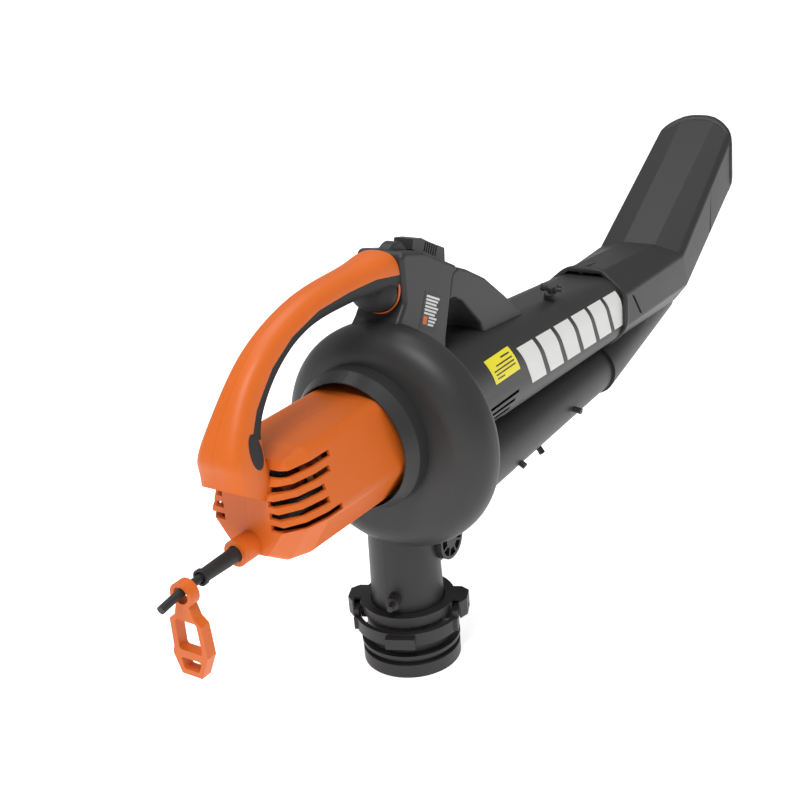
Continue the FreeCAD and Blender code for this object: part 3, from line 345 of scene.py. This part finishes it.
startHalf = [(20, 25), (47, 2), (47, -36), (26, -57)]
startCorners = [Vector((412, y, z)) for y, z in startHalf]
startCorners += [Vector((412, -y, z)) for y, z in reversed(startHalf)]
startLoop = roundedLoop(startCorners, 11, 6)
bead = [(0.2, -1.5), (0.2, 1.6), (1.6, 2.4), (4.5, 2.4), (6, 1.4), (7, 0.2), (7, -1.5)]
beadMesh = bmesh.new()
ringThrough(beadMesh, [placed([point + Vector((shift, 0, 0)) for point in
                               grown(startLoop, proud)]) for shift, proud in bead])
finishPiece("nozzle_bead", beadMesh, charcoalPlastic, smooth=True)

# A thin near-black sheet laid on the nozzle's right side, painted shade standing in for the recess
# of a slot, and the raised tab on its top edge.
nozzleTree = surfaceTree("nozzle")
slotShadeMesh = bmesh.new()
patch(slotShadeMesh, nozzleTree, [(429, 0, -3), (435, 0, -6), (454.5, 0, -32), (448.5, 0, -29)],
      toLeft, 0.00015, across=2, along=8)
finishPiece("nozzle_slot_shade", slotShadeMesh, deepShade)


# A bar with rounded ends between two points, in millimetres.
def roundBar(mesh, start, end, startRadius, endRadius, segments=24, soften=0.8):
    axis = Vector(end) - Vector(start)
    turn = axis.to_track_quat("Z", "Y").to_matrix().to_4x4()
    middle = place(*((Vector(start) + Vector(end)) / 2))
    made = bmesh.ops.create_cone(mesh, cap_ends=True, cap_tris=False, segments=segments,
                                 radius1=startRadius / 1000, radius2=endRadius / 1000,
                                 depth=axis.length / 1000, matrix=Matrix.Translation(middle) @ turn)
    rims = {edge for vertex in made["verts"] for edge in vertex.link_edges
            if any(len(face.verts) > 4 for face in edge.link_faces)}
    bmesh.ops.bevel(mesh, geom=list(rims), offset=soften / 1000, offset_type="OFFSET",
                    affect="EDGES", segments=3, profile=0.5, material=-1)


tab = {"start": (413, 4, 23.5), "end": (452, 4, 21.5), "startRadius": 4.2, "endRadius": 1.2}
tabMesh = bmesh.new()
roundBar(tabMesh, tab["start"], tab["end"], tab["startRadius"], tab["endRadius"])
finishPiece("nozzle_tab", tabMesh, charcoalPlastic, smooth=True)

# The crossways barrel on the hook that takes the collecting bag's strap.
barrelMesh = bmesh.new()
hookBox = [[(coordinate * 1000 - shift) for coordinate, shift in zip(corner, originShift)]
           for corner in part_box("tube_bag_hook")]
hookMiddle = (Vector(hookBox[0]) + Vector(hookBox[1])) / 2
barrel = {"reach": 9, "radius": 4, "prong": 1.3, "gap": 2.2, "sunk": 0.3, "prongLength": 6,
          "prongOverlap": 1}
barrelHeight = hookBox[1][2] - barrel["radius"] - barrel["sunk"]
prongStart = hookMiddle.y - barrel["reach"] + barrel["prongOverlap"]
roundBar(barrelMesh, (hookMiddle.x, hookMiddle.y + barrel["reach"], barrelHeight),
         (hookMiddle.x, hookMiddle.y - barrel["reach"], barrelHeight),
         barrel["radius"], barrel["radius"])
for side in (-1, 1):
    prongHeight = barrelHeight + side * barrel["gap"]
    roundBar(barrelMesh, (hookMiddle.x, prongStart, prongHeight),
             (hookMiddle.x, prongStart - barrel["prongLength"], prongHeight),
             barrel["prong"], barrel["prong"], segments=12, soften=0.4)
finishPiece("hook_barrel", barrelMesh, charcoalPlastic, smooth=True)
print("nozzle trim made")

# A rounded cup where the grip insert meets the control tower.
cup = {"middle": (29.5, 0, 114.5), "radii": (15.5, 21, 16.5)}
cupMesh = bmesh.new()
bmesh.ops.create_uvsphere(cupMesh, u_segments=48, v_segments=32, radius=0.001)
bmesh.ops.scale(cupMesh, verts=cupMesh.verts, vec=cup["radii"])
bmesh.ops.translate(cupMesh, verts=cupMesh.verts, vec=place(*cup["middle"]))
finishPiece("upper_grip_cup", cupMesh, softGrip, smooth=True)

# Thin oval pads where the insert ends on the handle's foot, one on each side.
footPad = {"corners": [(-163, 0, 67), (-151, 0, 68), (-147.5, 0, 41), (-163, 0, 40)],
           "rise": 0.0004, "cells": 16}
shells = {"right": toLeft, "left": -toLeft}
for side, direction in shells.items():
    shellTree = surfaceTree("handle_shell_" + side, "grip_insert")
    footMesh = bmesh.new()
    patch(footMesh, shellTree, footPad["corners"], direction, footPad["rise"],
          across=footPad["cells"], along=footPad["cells"], oval=True)
    finishPiece("lower_grip_pad_" + side, footMesh, softGrip, smooth=True)

# A thin orange ring round the cup.
rim = {"middle": (38.2, 0, 114.5), "radius": 19.5, "thickness": 0.9, "turns": 64, "lean": 14}
rimMesh = bmesh.new()
wire = bmesh.ops.create_circle(rimMesh, segments=12, radius=rim["thickness"] / 1000)["verts"]
bmesh.ops.translate(rimMesh, verts=wire, vec=(0, rim["radius"] / 1000, 0))
bmesh.ops.spin(rimMesh, geom=rimMesh.verts[:] + rimMesh.edges[:], cent=(0, 0, 0), axis=(1, 0, 0),
               angle=math.tau, steps=rim["turns"], use_merge=True)
bmesh.ops.rotate(rimMesh, verts=rimMesh.verts, cent=(0, 0, 0),
                 matrix=Matrix.Rotation(math.radians(rim["lean"]), 3, "Y"))
bmesh.ops.translate(rimMesh, verts=rimMesh.verts, vec=place(*rim["middle"]))
finishPiece("upper_grip_rim", rimMesh, orangePlastic, smooth=True)
print("grip cups made")

cord = {"radius": 3.25, "route": [(-209.5, 0, -25), (-223.5, 0, -25.5), (-237.5, 0, -26.8),
                                  (-250.5, 0, -29)], "length": 0.04125}
cordCurve = bpy.data.curves.new("power_lead", "CURVE")
cordCurve.dimensions = "3D"
cordCurve.bevel_depth = cord["radius"] / 1000
cordCurve.bevel_resolution = 8
cordCurve.resolution_u = 16
cordCurve.use_fill_caps = True
line = cordCurve.splines.new("NURBS")
line.points.add(len(cord["route"]) - 1)
for point, spot in zip(line.points, cord["route"]):
    point.co = (*place(*spot), 1)
line.order_u = 3
line.use_endpoint_u = True
cordPiece = bpy.data.objects.new("power_lead", cordCurve)
bpy.context.scene.collection.objects.link(cordPiece)
cordCurve.materials.append(cordRubber)
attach(cordPiece, "main_body")
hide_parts("power_cord")
print("cord made")

view = {"azimuth": -54.79, "elevation": 21.77, "roll": -4.92, "focal": 1.585, "distance": 1046,
        "right": 28.57, "up": 29.23, "sensor": 36}
azimuth, elevation, roll = [math.radians(view[key]) for key in ("azimuth", "elevation", "roll")]
back = Vector((math.sin(azimuth) * math.cos(elevation),
               -math.cos(azimuth) * math.cos(elevation), math.sin(elevation)))
level = Vector((0, 0, 1)).cross(back).normalized()
upright = back.cross(level)
cameraRight = level * math.cos(roll) + upright * math.sin(roll)
cameraUp = upright * math.cos(roll) - level * math.sin(roll)
eye = place(*(cameraRight * view["right"] + cameraUp * view["up"] + back * view["distance"]))
cameraData = bpy.data.cameras.new("camera")
cameraData.sensor_width = view["sensor"]
cameraData.lens = view["focal"] * view["sensor"]
cameraData.clip_end = 50
camera = bpy.data.objects.new("camera", cameraData)
bpy.context.scene.collection.objects.link(camera)
turned = Matrix((cameraRight, cameraUp, back)).transposed().to_4x4()
camera.matrix_world = Matrix.Translation(eye) @ turned
bpy.context.scene.camera = camera

floorGap = 0.0005
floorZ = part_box("outlet_collar")[0][2] - floorGap
floorMesh = bmesh.new()
bmesh.ops.create_grid(floorMesh, x_segments=1, y_segments=1, size=40)
bmesh.ops.translate(floorMesh, verts=floorMesh.verts, vec=(0, 0, floorZ))
floorData = bpy.data.meshes.new("floor")
floorMesh.to_mesh(floorData)
floorMesh.free()
floor = bpy.data.objects.new("floor", floorData)
bpy.context.scene.collection.objects.link(floor)
floorPaint = bpy.data.materials.new("floorPaint")
floorPaint.use_nodes = True
floorShader = floorPaint.node_tree.nodes["Principled BSDF"]
floorShader.inputs["Base Color"].default_value = (0.92, 0.92, 0.92, 1)
floorShader.inputs["Roughness"].default_value = 0.9
floorShader.inputs["Specular IOR Level"].default_value = 0.1
floorShader.inputs["Emission Color"].default_value = (1, 1, 1, 1)
floorShader.inputs["Emission Strength"].default_value = 0.7
floorData.materials.append(floorPaint)

world = bpy.data.worlds.new("studio")
world.use_nodes = True
world.node_tree.nodes["Background"].inputs["Color"].default_value = (1, 1, 1, 1)
world.node_tree.nodes["Background"].inputs["Strength"].default_value = 0.35
bpy.context.scene.world = world
bpy.context.scene.view_settings.view_transform = "Standard"

lamps = [("key", (-1.2, -0.5, 2.3), 1.2, 54), ("fill", (-2.2, -0.8, 0.8), 1.6, 1.5),
         ("side", (1.2, -2.0, 1.0), 1.4, 1.5), ("top", (0.5, 0.7, 2.3), 1.6, 24)]
lampTarget = Vector((0.2, 0, -0.12))
for name, spot, breadth, power in lamps:
    lampData = bpy.data.lights.new(name, "AREA")
    lampData.shape = "DISK"
    lampData.size = breadth
    lampData.energy = power
    lamp = bpy.data.objects.new(name, lampData)
    bpy.context.scene.collection.objects.link(lamp)
    aim = Vector(spot) - lampTarget
    lamp.matrix_world = (Matrix.Translation(spot)
                         @ aim.to_track_quat("Z", "Y").to_matrix().to_4x4())
print("stage made")
